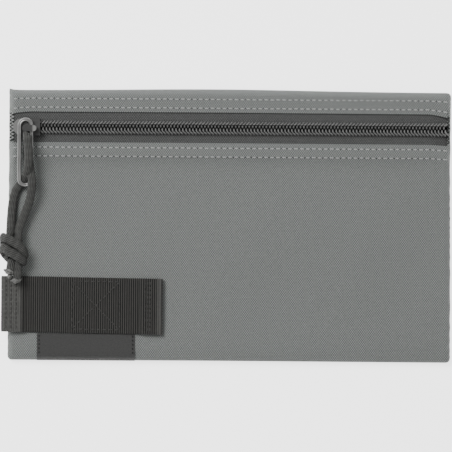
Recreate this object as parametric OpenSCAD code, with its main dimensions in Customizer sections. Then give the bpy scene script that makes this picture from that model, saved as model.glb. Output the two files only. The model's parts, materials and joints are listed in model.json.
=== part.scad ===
// Flat zipped deposit pouch lying on its back: X runs along the zip, Y up the pouch, Z out of its front.
// The origin is at the middle of the underside of everything but the cord pull.

/* [Pouch] */
// Width of the pouch between its side edges
pouch_w = 229; // [190:1:280]
// Height of the pouch from its bottom fold to its top fold
pouch_h = 140; // [115:1:180]
// Thickness of the coated nylon cloth
cloth_t = 0.7; // [0.5:0.1:0.9]
// Clear height inside the empty pouch
inside_h = 4.4; // [3.6:0.2:10]
// Drop of the front cloth round the side and bottom edges
edge_drop = 2.2; // [1.4:0.2:2.6]
// Width of the tape that binds the seams inside
binding_w = 7.5; // [6:0.5:9]
// Thickness of a bound seam
binding_t = 1.6; // [1:0.2:2.4]

/* [Zip] */
// Cloth left between the upper hem and the top fold
top_margin = 3.55; // [2.95:0.05:8]
// Width of zip left showing between the turned hems
window_w = 15.5; // [12.5:0.5:19]
// How far the zip tapes reach past the inner edges of the hems
tape_reach = 2.55; // [2:0.05:2.9]
// Thickness of the zip tape
tape_t = 0.6; // [0.4:0.1:0.8]
// Gap between the two tapes under the coils
tape_gap = 2.6; // [2.1:0.1:3.2]
// Width of the closed coil chain
chain_w = 7; // [6:0.2:9]
// Height of the coils above the tape
chain_h = 2.6; // [2.2:0.1:3.2]
// Gap between the two closed coils
chain_gap = 0.6; // [0.4:0.1:1]
// Diameter of the core cord inside each coil
core_d = 1.2; // [0.8:0.1:1.6]
// Depth of the turned hems beside the zip
hem_d = 8; // [6.5:0.1:10]
// Height that a turned hem adds above the tape
hem_t = 0.8; // [0.6:0.1:1.2]
// Distance of the first row of hem stitches from the hem's edge
row_near = 2.6; // [1.5:0.1:3.5]
// Distance of the second row of hem stitches from the hem's inner edge
row_inner = 0.8; // [0.5:0.1:1.2]

/* [Slider] */
// Length of the slider along the zip
slider_l = 14; // [11.5:0.5:17]
// Width of each of the slider's rims, which steer the coils
rim_w = 0.5; // [0.4:0.1:0.9]
// Thickness of the slider's two plates
plate_t = 1.2; // [1:0.1:1.4]
// Distance of the slider's nose from the pouch's left edge when the zip is closed
slider_from_edge = 2; // [1.6:0.1:6]
// Width of the bail's bar
bail_w = 3.2; // [2.4:0.1:4]
// Clear height under the bail
bail_clear = 3.2; // [2.6:0.1:4]

/* [Pull] */
// Outside length of the pull link
link_l = 36.1; // [32:0.1:40]
// Outside width of the pull link
link_w = 8.2; // [6.8:0.1:9.9]
// Width of the link's rod
link_rod = 2.1; // [1.7:0.1:2.5]
// Thickness of the link's rod
link_t = 1.8; // [1.4:0.1:2.2]
// Width of the cord, which lies slightly flattened
cord_w = 4.4; // [4:0.1:4.6]
// Thickness of the cord as it lies
cord_t = 3; // [2.6:0.1:3.2]

/* [Strap and label] */
// Width of the webbing
strap_w = 29; // [24:0.5:34]
// Length of the webbing strap
strap_l = 84; // [70:1:110]
// Thickness of the webbing
strap_t = 1.4; // [1.1:0.1:1.6]
// How far the strap stands out past the pouch's left edge
strap_overhang = 3.7; // [2:0.1:5]
// Distance of the strap's lower edge from the bottom fold
strap_from_bottom = 13.8; // [11:0.1:16]
// Length of webbing that is turned under at each end
strap_hem = 10.4; // [8.6:0.1:12.6]
// Length of the free tab at the strap's right end
tab_l = 22; // [18:1:27]
// Side of the stitched box that holds the strap down
box_l = 24; // [20:1:29]
// Width of the woven label
label_w = 51; // [40:1:60]
// Distance of the label from the pouch's left edge
label_from_left = 15; // [12:0.5:20]
// Thickness of the label
label_t = 0.5; // [0.3:0.1:0.6]
// Thickness of all the stitched threads
thread_t = 0.5; // [0.4:0.1:0.6]

/* [Hidden] */
$fn = 48;

eps = 0.01;
gap = 0.3;                 // between pieces that move past each other
left_x = (strap_overhang - pouch_w) / 2;
right_x = left_x + pouch_w;
mid_x = (left_x + right_x) / 2;
bottom_y = -pouch_h / 2;
top_y = pouch_h / 2;

// Heights of the layers, from the back of the pouch to the front
inside_z = cloth_t;
front_z = inside_z + inside_h;             // underside of the front cloth
face_z = front_z + cloth_t;                // its outer face
tape_z = face_z + gap;                     // underside of the zip tapes
hem_z = tape_z + tape_t;                   // top of the tapes, under hems and coils
hem_top_z = hem_z + hem_t;
chain_top_z = hem_z + chain_h;
plate_z = chain_top_z + gap;               // underside of the slider's top plate
slider_top_z = plate_z + plate_t;

// The zip
zip_y = top_y - top_margin - hem_d - window_w / 2;
hem_lower_y = zip_y - window_w / 2;        // edge of the lower hem
hem_upper_y = zip_y + window_w / 2;        // edge of the upper hem
tape_w = window_w / 2 + hem_d + tape_reach - tape_gap / 2;
coil_w = (chain_w - chain_gap) / 2;
zip_end = 2.7;                             // from the side edges to the ends of the tapes
zip_x0 = left_x + zip_end;
zip_x1 = right_x - zip_end;
tack_w = 1.1;
tack_inset = slider_from_edge - gap - tack_w;

// The slider, with its nose to the left when the zip is closed
slider_x0 = left_x + slider_from_edge;
slider_x1 = slider_x0 + slider_l;
rim_clear = 0.3;                           // between a coil and the rim beside it
slider_w = chain_w + 2 * (rim_w + rim_clear);
nose_r = slider_w / 2;
post_clear = 0.5;                          // between the post and the tape beside it
post_w = tape_gap - 2 * post_clear;
post_l = 2.6;
post_inset = 1.1;
coil_x0 = slider_x0 + post_inset + post_l + gap;

// The bail's legs stand on both sides of the link's right rod
bail_leg = 1;
bail_leg_w = 1.6;
bail_bar = 1.2;
rod_play = 0.6;                            // between the rod and the leg at its right
bail_l = link_w - link_rod + bail_leg + rod_play - gap;
bail_inset = 1.8;                          // from the bail to the slider's rear edge
bail_x = slider_x1 - bail_inset - bail_l / 2;
bail_y = zip_y - 0.7;

// The pull link lies across the slider, whose lower edge it rests on
link_x = bail_x + bail_l / 2 - bail_leg - rod_play - link_w / 2;
link_top_y = zip_y + slider_w / 2 + 0.6;
link_rest_y = zip_y - slider_w / 2;
link_rest_z = slider_top_z + 0.25;
link_tilt = 3;

// The strap and its stitching
strap_x0 = left_x - strap_overhang;
strap_x1 = strap_x0 + strap_l;
strap_y0 = bottom_y + strap_from_bottom;
strap_y1 = strap_y0 + strap_w;
strap_z = face_z + 0.1;
strap_top_z = strap_z + strap_t;
tab_x0 = strap_x1 - tab_l;
box_inset = 2.4;
end_thread_inset = 2.6;
label_x0 = left_x + label_from_left;
label_h = strap_from_bottom - 0.2;
stitch_w = 0.7;

// The cord's route from the pull's anchor on the slider's top face. The cord hangs from the link, so the
// anchor goes with the link's top.
// The front strand climbs from the knot, under the link's end, and up over the link to the bight.
anchor = [bail_x, link_top_y - 4.9, slider_top_z];
front_route = [
    [-9.5, -54, -0.9], [-9.2, -46.5, -2.3], [-8.4, -38.5, -3], [-6.6, -32.5, -3.2],
    [-4, -29.5, -2.9], [-2.1, -26.5, -0.2], [-0.8, -23, 3.2], [-0.3, -19, 5.4],
    [-0.1, -14, 6.1], [-0.5, -9.5, 6.1], [-0.9, -6.2, 6], [-1.2, -4.2, 4.5],
];
// The rear strand drops from the bight, over the link's end, and down to the knot.
rear_route = [
    [-1.2, -4.2, 4.5], [-0.9, -6.5, 3], [-0.4, -11.5, 2.8], [0, -17.5, 2.5], [0.8, -23, 2.4],
    [1.5, -28.5, 2.5], [1.3, -33.5, 1.5], [0.2, -39, 0.1], [-2.2, -45.5, -0.7], [-5.2, -53.5, -0.3],
];
left_tail_route = [[-8.8, -71, 0.6], [-9.2, -73, 1.2], [-9.6, -75, 1.4]];
right_tail_route = [[-5.1, -70.5, 1], [-5.4, -74.5, 1.3], [-5.9, -79, 1.5]];
knot_at = [-7.5, -63.6, 0.7];
knot_size = [14.5, 16.6, 10.4];
knot_corner = 3.4;
tip_r = 2.3;
cord_sides = 10;
rings_per_leg = 3;

// ---- shapes that several pieces share ----

// Outline of the pouch's side edge, from the back cloth up and over to the middle, pulled in by `inset`
function edge_profile(w, inset) = [
    [-w / 2 + inset, inside_z],
    [-w / 2 + inset, face_z - edge_drop - inset / 2],
    [-w / 2 + inset / 2 + edge_drop, face_z - inset],
    [w / 2 - inset / 2 - edge_drop, face_z - inset],
    [w / 2 - inset, face_z - edge_drop - inset / 2],
    [w / 2 - inset, inside_z],
];

// The solid under the front cloth, between two heights up the pouch
module front_form(inset) {
    intersection() {
        translate([mid_x, top_y, 0])
            rotate([90, 0, 0])
                linear_extrude(pouch_h)
                    polygon(edge_profile(pouch_w, inset));
        translate([left_x, 0, 0])
            rotate([90, 0, 90])
                linear_extrude(pouch_w)
                    polygon(edge_profile(pouch_h, inset));
    }
}

// Part of the front cloth, from y0 up to y1
module front_cloth(y0, y1) {
    intersection() {
        difference() {
            front_form(0);
            front_form(cloth_t);
        }
        translate([left_x, y0, 0])
            cube([pouch_w, y1 - y0, face_z]);
    }
}

module slab(x0, x1, y0, y1, z, t) {
    translate([x0, y0, z])
        cube([x1 - x0, y1 - y0, t]);
}

// Thread of a row of stitches along X
module stitch_row(x0, x1, y, z) {
    slab(x0, x1, y - stitch_w / 2, y + stitch_w / 2, z, thread_t);
}

// Thread of a row of stitches along Y
module stitch_column(x, y0, y1, z) {
    slab(x - stitch_w / 2, x + stitch_w / 2, y0, y1, z, thread_t);
}

// One coil, hollow for its core; side is 1 above the zip's middle and -1 below it
module coil_tube(side) {
    y = zip_y + side * (chain_gap + coil_w) / 2;
    translate([coil_x0, y, hem_z + chain_h / 2])
        rotate([90, 0, 90])
            linear_extrude(zip_x1 - coil_x0)
                difference() {
                    square([coil_w, chain_h], center = true);
                    circle(d = core_d);
                }
}

module coil_core(side) {
    y = zip_y + side * (chain_gap + coil_w) / 2;
    translate([coil_x0, y, hem_z + chain_h / 2])
        rotate([0, 90, 0])
            cylinder(d = core_d, h = zip_x1 - coil_x0);
}

// The chain-stitch that holds a coil to its tape
module coil_thread(side) {
    y = zip_y + side * (chain_gap / 2 + coil_w * 0.62);
    slab(slider_x1 + gap, zip_x1, y - stitch_w / 2, y + stitch_w / 2, chain_top_z, gap - 0.1);
}

module tape(side) {
    y0 = side > 0 ? zip_y + tape_gap / 2 : zip_y - tape_gap / 2 - tape_w;
    slab(zip_x0, zip_x1, y0, y0 + tape_w, tape_z, tape_t);
}

// Smooth curve through four route points, at t from 0 to 1 between b and c
function spline(a, b, c, d, t) =
    0.5 * (2 * b + (c - a) * t + (2 * a - 5 * b + 4 * c - d) * t * t
        + (3 * b - a - 3 * c + d) * t * t * t);
function at(route, i) = route[max(0, min(len(route) - 1, i))];
function smooth(route) = concat(
    [for (i = [0 : len(route) - 2], k = [0 : rings_per_leg - 1])
        spline(at(route, i - 1), route[i], route[i + 1], at(route, i + 2), k / rings_per_leg)],
    [route[len(route) - 1]]);
function unit(v) = v / norm(v);
function along(path, i) = unit(at(path, i + 1) - at(path, i - 1));
// Sideways direction, level wherever the cord is not upright
function sideways(d) = unit(cross(d, abs(d.z) > 0.98 ? [0, -1, 0] : [0, 0, 1]));
function ring(path, i) =
    let (d = along(path, i), s = sideways(d), u = cross(s, d))
        [for (k = [0 : cord_sides - 1])
            path[i] + s * cord_w / 2 * cos(360 * k / cord_sides)
                + u * cord_t / 2 * sin(360 * k / cord_sides)];

// A cord swept along a route, as one closed solid
module cord(route) {
    path = smooth(route);
    rings = len(path);
    points = [for (i = [0 : rings - 1]) each ring(path, i)];
    walls = [for (i = [0 : rings - 2], k = [0 : cord_sides - 1])
        let (a = i * cord_sides, n = (k + 1) % cord_sides)
            [a + k, a + n, a + cord_sides + n, a + cord_sides + k]];
    start = [for (k = [cord_sides - 1 : -1 : 0]) k];
    end = [for (k = [0 : cord_sides - 1]) (rings - 1) * cord_sides + k];
    translate(anchor)
        polyhedron(points, concat([start], walls, [end]));
}

// ---- the pouch ----

// Back cloth, with its edges turned up at the two ends of the zip
module back_panel() {
    color("dimgray") {
        slab(left_x, right_x, bottom_y, top_y, 0, cloth_t);
        for (x = [left_x, right_x - cloth_t])
            slab(x, x + cloth_t, hem_lower_y - 0.5, hem_upper_y, cloth_t, inside_h - 1);
    }
}

module front_lower_panel() {
    color("gray")
        front_cloth(bottom_y, hem_lower_y - 0.9);
}

// Front cloth above the zip, with its turned hem
module front_upper_panel() {
    color("gray") {
        front_cloth(hem_upper_y, top_y);
        slab(zip_x0, zip_x1, hem_upper_y, hem_upper_y + hem_d, hem_z, hem_t);
    }
}

module seam_binding(x0) {
    color("black")
        slab(x0, x0 + binding_w, bottom_y + 2, top_y - 2, inside_z + 0.1, binding_t);
}

module left_seam_binding() {
    seam_binding(left_x + cloth_t + 0.2);
}

module right_seam_binding() {
    seam_binding(right_x - cloth_t - 0.2 - binding_w);
}

module left_seam_stitching() {
    color("dimgray")
        stitch_column(left_x + cloth_t + 0.2 + binding_w * 0.7, bottom_y + 3, top_y - 3,
            inside_z + 0.1 + binding_t);
}

module right_seam_stitching() {
    color("dimgray")
        stitch_column(right_x - cloth_t - 0.2 - binding_w * 0.7, bottom_y + 3, top_y - 3,
            inside_z + 0.1 + binding_t);
}

// ---- the zip ----

module upper_zip_tape() {
    color("darkslategray")
        tape(1);
}

module lower_zip_tape() {
    color("darkslategray")
        tape(-1);
}

module upper_coil() {
    color("black")
        coil_tube(1);
}

module lower_coil() {
    color("black")
        coil_tube(-1);
}

module upper_coil_core() {
    color("dimgray")
        coil_core(1);
}

module lower_coil_core() {
    color("dimgray")
        coil_core(-1);
}

module upper_coil_stitching() {
    color("black")
        coil_thread(1);
}

module lower_coil_stitching() {
    color("black")
        coil_thread(-1);
}

// Turned hem of the front cloth, which moves with the lower lip of the mouth
module lower_hem() {
    color("gray")
        slab(zip_x0, zip_x1, hem_lower_y - hem_d, hem_lower_y, hem_z, hem_t);
}

module upper_hem_stitching() {
    color("silver")
        for (row = [row_near, hem_d - row_inner])
            stitch_row(zip_x0, zip_x1, hem_upper_y + row, hem_top_z);
}

module lower_hem_stitching() {
    color("silver")
        for (row = [row_near, hem_d - row_inner])
            stitch_row(zip_x0, zip_x1, hem_lower_y - row, hem_top_z);
}

// Dense tack of thread across both tapes at one end of the zip
module bartack(x0) {
    color("black")
        slab(x0, x0 + tack_w, hem_lower_y + 0.5, hem_upper_y - 0.3, tape_z, tape_t + thread_t);
}

module left_bartack() {
    bartack(left_x + tack_inset);
}

module right_bartack() {
    bartack(right_x - tack_inset - tack_w);
}

// ---- the slider ----

module plate_outline() {
    translate([slider_x0 + nose_r, zip_y])
        circle(r = nose_r);
    translate([slider_x0 + nose_r, zip_y - slider_w / 2])
        square([slider_l - nose_r, slider_w]);
}

// Two plates joined by the post that parts the coils, with rims that steer them
module slider_body() {
    color("dimgray") {
        translate([0, 0, plate_z])
            linear_extrude(plate_t)
                plate_outline();
        translate([0, 0, tape_z - gap - plate_t])
            linear_extrude(plate_t)
                plate_outline();
        slab(slider_x0 + post_inset, slider_x0 + post_inset + post_l, zip_y - post_w / 2,
            zip_y + post_w / 2, tape_z - gap - eps, plate_z - tape_z + gap + 2 * eps);
        for (side = [-1, 1])
            translate([slider_x0 + nose_r, zip_y + side * (slider_w - rim_w) / 2 - rim_w / 2,
                    hem_z + gap])
                cube([slider_l - nose_r, rim_w, plate_z - hem_z - gap + eps]);
    }
}

// Bridge that holds the pull link: a bar with round ends on two posts
module slider_bail() {
    color("darkgray") {
        translate([bail_x, bail_y, slider_top_z + bail_clear])
            linear_extrude(bail_bar) {
                square([bail_l - bail_w, bail_w], center = true);
                for (side = [-1, 1])
                    translate([side * (bail_l - bail_w) / 2, 0])
                        circle(d = bail_w);
            }
        for (side = [-1, 1])
            translate([bail_x + side * (bail_l - bail_leg) / 2 - bail_leg / 2,
                    bail_y - bail_leg_w / 2, slider_top_z])
                cube([bail_leg, bail_leg_w, bail_clear + bail_bar / 2]);
    }
}

// ---- the pull ----

module link_outline(w, l) {
    translate([0, -w / 2])
        circle(d = w);
    translate([0, -l + w / 2])
        circle(d = w);
    translate([-w / 2, -l + w / 2])
        square([w, l - w]);
}

module pull_link() {
    color("lightgray")
        translate([link_x, link_rest_y, link_rest_z])
            rotate([link_tilt, 0, 0])
                translate([0, link_top_y - link_rest_y, 0])
                    linear_extrude(link_t)
                        difference() {
                            link_outline(link_w, link_l);
                            translate([0, -link_rod])
                                link_outline(link_w - 2 * link_rod, link_l - 2 * link_rod);
                        }
}

module cord_front_strand() {
    color("slategray")
        cord(front_route);
}

module cord_rear_strand() {
    color("slategray")
        cord(rear_route);
}

// Room that the tied knot takes up
module cord_knot() {
    reach = knot_size / 2 - [knot_corner, knot_corner, knot_corner];
    color("slategray")
        translate(anchor + knot_at)
            hull()
                for (x = [-1, 1], y = [-1, 1], z = [-1, 1])
                    translate([x * reach.x, y * reach.y, z * reach.z])
                        sphere(r = knot_corner, $fn = 32);
}

module cord_tails() {
    color("slategray") {
        cord(left_tail_route);
        cord(right_tail_route);
    }
}

// Ends of the cord, melted to stop them fraying
module cord_melted_tips() {
    color("gainsboro")
        for (route = [left_tail_route, right_tail_route])
            translate(anchor + route[len(route) - 1] - [0, tip_r, 0])
                sphere(r = tip_r);
}

// ---- the strap and the label ----

// Webbing with its left end turned under and the box that is sewn to the pouch
module webbing_strap() {
    color("black") {
        slab(strap_x0, tab_x0 - gap, strap_y0, strap_y1, strap_z, strap_t);
        slab(strap_x0, strap_x0 + strap_hem, strap_y0, strap_y1, strap_top_z - eps, strap_t + eps);
    }
}

// Free right end of the same webbing, turned under
module strap_tab() {
    color("black") {
        slab(tab_x0, strap_x1, strap_y0, strap_y1, strap_z, strap_t);
        slab(strap_x1 - strap_hem, strap_x1, strap_y0, strap_y1, strap_top_z - eps, strap_t + eps);
    }
}

// Box of stitches, with its two diagonals
module box_stitching() {
    x1 = tab_x0 - gap - 0.5;
    x0 = x1 - box_l;
    y0 = strap_y0 + box_inset;
    y1 = strap_y1 - box_inset;
    diagonal = norm([x1 - x0, y1 - y0]);
    turn = atan2(y1 - y0, x1 - x0);
    color("black") {
        for (y = [y0, y1])
            slab(x0, x1, y - stitch_w / 2, y + stitch_w / 2, strap_top_z, thread_t);
        for (x = [x0, x1])
            slab(x - stitch_w / 2, x + stitch_w / 2, y0, y1, strap_top_z, thread_t);
        for (side = [-1, 1])
            translate([(x0 + x1) / 2, (y0 + y1) / 2, strap_top_z + thread_t / 2])
                rotate(side * turn)
                    cube([diagonal, stitch_w, thread_t], center = true);
    }
}

module left_end_stitching() {
    color("dimgray")
        for (inset = [end_thread_inset, strap_hem - end_thread_inset])
            stitch_column(strap_x0 + inset, strap_y0 + 1.5, strap_y1 - 1.5, strap_top_z + strap_t);
}

module tab_stitching() {
    color("dimgray")
        for (inset = [end_thread_inset + 4, strap_hem - 1.2])
            stitch_column(strap_x1 - inset, strap_y0 + 1.5, strap_y1 - 1.5, strap_top_z + strap_t);
}

module label() {
    color("black")
        slab(label_x0, label_x0 + label_w, bottom_y + edge_drop, bottom_y + label_h, face_z, label_t);
}

module label_stitching() {
    color("dimgray")
        for (x = [label_x0 + 1.2, label_x0 + label_w - 1.2])
            stitch_column(x, bottom_y + edge_drop + 0.5, bottom_y + label_h - 0.3, face_z + label_t);
}

back_panel();
front_lower_panel();
front_upper_panel();
left_seam_binding();
right_seam_binding();
left_seam_stitching();
right_seam_stitching();
upper_zip_tape();
lower_zip_tape();
upper_coil();
lower_coil();
upper_coil_core();
lower_coil_core();
upper_coil_stitching();
lower_coil_stitching();
lower_hem();
upper_hem_stitching();
lower_hem_stitching();
left_bartack();
right_bartack();
slider_body();
slider_bail();
pull_link();
cord_front_strand();
cord_rear_strand();
cord_knot();
cord_tails();
cord_melted_tips();
webbing_strap();
strap_tab();
box_stitching();
left_end_stitching();
tab_stitching();
label();
label_stitching();
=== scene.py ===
import json
import math

import bmesh
import bpy
import numpy as np
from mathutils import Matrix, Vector, noise


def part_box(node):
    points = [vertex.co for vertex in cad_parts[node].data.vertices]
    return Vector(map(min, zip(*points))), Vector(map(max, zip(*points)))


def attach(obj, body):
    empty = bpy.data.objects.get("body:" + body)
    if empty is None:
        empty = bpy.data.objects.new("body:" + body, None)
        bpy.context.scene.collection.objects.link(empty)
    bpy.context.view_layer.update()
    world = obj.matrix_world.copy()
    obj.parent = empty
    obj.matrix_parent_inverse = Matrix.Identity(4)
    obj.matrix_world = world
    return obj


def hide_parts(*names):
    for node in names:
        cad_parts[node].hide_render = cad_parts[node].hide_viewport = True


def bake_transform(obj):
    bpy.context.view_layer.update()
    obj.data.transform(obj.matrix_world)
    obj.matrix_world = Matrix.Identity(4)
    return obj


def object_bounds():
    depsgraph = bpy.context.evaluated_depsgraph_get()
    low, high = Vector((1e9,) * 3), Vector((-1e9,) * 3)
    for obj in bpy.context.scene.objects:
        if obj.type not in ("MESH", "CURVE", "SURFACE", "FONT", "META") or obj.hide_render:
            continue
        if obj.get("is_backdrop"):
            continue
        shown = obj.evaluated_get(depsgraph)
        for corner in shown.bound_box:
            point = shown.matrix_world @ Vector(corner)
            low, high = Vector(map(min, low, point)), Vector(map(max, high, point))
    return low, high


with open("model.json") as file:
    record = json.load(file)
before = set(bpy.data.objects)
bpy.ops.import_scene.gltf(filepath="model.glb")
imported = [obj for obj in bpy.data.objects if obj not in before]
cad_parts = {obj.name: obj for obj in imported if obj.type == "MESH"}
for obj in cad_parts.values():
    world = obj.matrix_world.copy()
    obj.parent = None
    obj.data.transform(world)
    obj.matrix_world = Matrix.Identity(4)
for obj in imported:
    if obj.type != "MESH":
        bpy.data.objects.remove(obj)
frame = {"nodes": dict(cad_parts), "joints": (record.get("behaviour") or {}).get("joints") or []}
cad_low, cad_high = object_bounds()

# ---- viewpoint ----
# The pouch lies on its back and is looked at from straight above, turned a touch clockwise.
# The lens is long, so that the sides of the pouch stay out of sight.
mm = 0.001
seen_width = 234.8 * mm
face_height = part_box("front_lower_panel")[1].z
eye = bpy.data.cameras.new("eye")
eye.lens = 600
eye.sensor_width = 36
eye.clip_end = 30
viewpoint = bpy.data.objects.new("viewpoint", eye)
bpy.context.scene.collection.objects.link(viewpoint)
viewpoint.location = (0.2 * mm, 0, face_height + seen_width * eye.lens / eye.sensor_width)
viewpoint.rotation_euler = (0, 0, math.radians(0.42))
bpy.context.scene.camera = viewpoint

# ---- pull cord ----
# One length of braided nylon cord, slightly flattened. It is doubled, hooked through the link and tied
# with both ends together in an overhand knot, and its two ends are melted.
slider_low, slider_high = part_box("slider_body")
bail_low, bail_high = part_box("slider_bail")
zip_y = (slider_low.y + slider_high.y) / 2
pull_anchor = np.array([(bail_low.x + bail_high.x) / 2, slider_high.y - 0.0043, slider_high.z])
cord_width = 0.0044
cord_thick = 0.003
front_strand = [
    (-0.0095, -0.054, -0.0009), (-0.0092, -0.0465, -0.0023), (-0.0084, -0.0385, -0.003),
    (-0.0066, -0.0325, -0.0032), (-0.004, -0.0295, -0.0029), (-0.0021, -0.0265, -0.0002),
    (-0.0008, -0.023, 0.0032), (-0.0003, -0.019, 0.0054), (-0.0001, -0.014, 0.0061),
    (-0.0005, -0.0095, 0.0061), (-0.0009, -0.0062, 0.006), (-0.0012, -0.0042, 0.0045),
]
rear_strand = [
    (-0.0009, -0.0065, 0.003), (-0.0004, -0.0115, 0.0028), (0, -0.0175, 0.0025),
    (0.0008, -0.023, 0.0024), (0.0015, -0.0285, 0.0025), (0.0013, -0.0335, 0.0015),
    (0.0002, -0.039, 0.0001), (-0.0022, -0.0455, -0.0007), (-0.0052, -0.0535, -0.0003),
]
left_tail = [(-0.0088, -0.071, 0.0006), (-0.0092, -0.073, 0.0012), (-0.0096, -0.075, 0.0014)]
right_tail = [(-0.0051, -0.0705, 0.001), (-0.0054, -0.0745, 0.0013), (-0.0059, -0.079, 0.0015)]

# Inside the knot each strand goes down the middle, turns left and up behind, crosses the front as one of
# the two slanting bands, turns back at the right and leaves below as a tail.
knot_middle = np.array([-0.0075, -0.0636, 0.0007])
front_strand_in_knot = [
    (-0.0022, 0.0066, -0.0012), (-0.0023, 0.003, -0.0006), (-0.0024, -0.0005, -0.0005),
    (-0.0032, -0.003, -0.0015), (-0.0048, -0.0032, -0.0029), (-0.0058, -0.0016, -0.0026),
    (-0.0062, 0.0003, -0.0006), (-0.0053, 0.0008, 0.0019), (-0.0032, -0.0007, 0.0035),
    (0.0004, -0.0026, 0.0037), (0.0034, -0.0046, 0.0031), (0.0052, -0.0062, 0.0008),
    (0.004, -0.0058, -0.0022), (0.0014, -0.0046, -0.0033), (-0.0008, -0.0052, -0.002),
]
rear_strand_in_knot = [
    (0.0022, 0.0068, -0.0007), (0.002, 0.0032, -0.0004), (0.0017, -0.0004, -0.0003),
    (0.0006, -0.0034, -0.0008), (-0.0014, -0.005, -0.0022), (-0.0038, -0.0036, -0.0038),
    (-0.0054, 0.0004, -0.0038), (-0.0058, 0.004, -0.0024), (-0.0059, 0.006, 0.0003),
    (-0.0046, 0.0058, 0.0027), (-0.0016, 0.0044, 0.0037), (0.0022, 0.0022, 0.0037),
    (0.005, -0.0004, 0.0025), (0.0059, -0.0028, -0.0002), (0.005, -0.0038, -0.0027),
    (0.0034, -0.0044, -0.0034), (0.0025, -0.0058, -0.0018),
]


def distances(line):
    """How far along a line each of its points lies."""
    return np.concatenate([[0], np.cumsum(np.linalg.norm(np.diff(line, axis=0), axis=1))])


def through(points, step):
    """A smooth line through the points, with its own points `step` apart."""
    points = np.array(points, float)
    ends = np.vstack([2 * points[0] - points[1], points, 2 * points[-1] - points[-2]])
    t = np.linspace(0, 1, 24, endpoint=False)[:, None]
    pieces = []
    for a, b, c, d in zip(ends[:-3], ends[1:-2], ends[2:-1], ends[3:]):
        bend = 2 * a - 5 * b + 4 * c - d
        pieces.append(0.5 * (2 * b + (c - a) * t + bend * t**2 + (3 * b - a - 3 * c + d) * t**3))
    line = np.vstack([*pieces, points[-1:]])
    length = distances(line)
    places = np.linspace(0, length[-1], max(2, round(length[-1] / step) + 1))
    return np.stack([np.interp(places, length, line[:, k]) for k in range(3)], 1)


def lay_mesh(name, corners, faces, lay):
    """A smooth mesh with its map "lay", which gives each face corner two distances in metres."""
    mesh = bpy.data.meshes.new(name)
    mesh.from_pydata(corners, [], faces)
    mesh.uv_layers.new(name="lay").uv.foreach_set("vector", np.array(lay, np.float32).ravel())
    mesh.shade_smooth()
    return mesh


def sweep(name, line, facing, profile, closed=False, scale=None):
    """A mesh tube along a line. The profile is given as (sideways, outward), and outward is `facing`.
    Its map "lay" holds the distance round the profile and the distance along the line, in metres."""
    line, facing, profile = np.array(line), np.array(facing, float), np.array(profile)
    n, k = len(line), len(profile)
    if closed:
        ahead = np.roll(line, -1, 0) - np.roll(line, 1, 0)
    else:
        ahead = np.gradient(line, axis=0)
    ahead /= np.linalg.norm(ahead, axis=1)[:, None]
    side = np.cross(ahead, np.broadcast_to(facing, line.shape))
    side /= np.linalg.norm(side, axis=1)[:, None]
    out = np.cross(side, ahead)
    size = np.ones(n) if scale is None else np.array(scale)
    corners = line[:, None] + size[:, None, None] * (
        side[:, None] * profile[None, :, :1] + out[:, None] * profile[None, :, 1:])
    round_it = distances(np.vstack([profile, profile[:1]]))
    along = distances(np.vstack([line, line[:1]]))
    faces, lay = [], []
    for i in range(n if closed else n - 1):
        j = (i + 1) % n
        for m in range(k):
            p = (m + 1) % k
            faces.append((i * k + m, i * k + p, j * k + p, j * k + m))
            lay += [(round_it[m], along[i]), (round_it[m + 1], along[i]),
                    (round_it[m + 1], along[i + 1]), (round_it[m], along[i + 1])]
    if not closed:
        for i, turned in ((0, -1), (n - 1, 1)):
            order = list(range(k))[::turned]
            faces.append([i * k + m for m in order])
            lay += [(profile[m][0], along[i] + profile[m][1]) for m in order]
    return lay_mesh(name, corners.reshape(-1, 3).tolist(), faces, lay)


class Wire:
    """A value in a material. Sums written on it add the Math nodes they need."""

    def __init__(self, socket):
        self.socket = socket

    def maths(self, operation, *values):
        made = self.socket.id_data.nodes.new("ShaderNodeMath")
        made.operation = operation
        for place, value in zip(made.inputs, values):
            feed(place, value)
        return Wire(made.outputs[0])

    def __add__(self, other):
        return self.maths("ADD", self, other)

    __radd__ = __add__

    def __sub__(self, other):
        return self.maths("SUBTRACT", self, other)

    def __rsub__(self, other):
        return self.maths("SUBTRACT", other, self)

    def __mul__(self, other):
        return self.maths("MULTIPLY", self, other)

    __rmul__ = __mul__


def feed(place, value):
    """Links a wire to a socket, or sets the socket to a plain value."""
    if isinstance(value, Wire):
        place.id_data.links.new(value.socket, place)
    else:
        place.default_value = value


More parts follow.
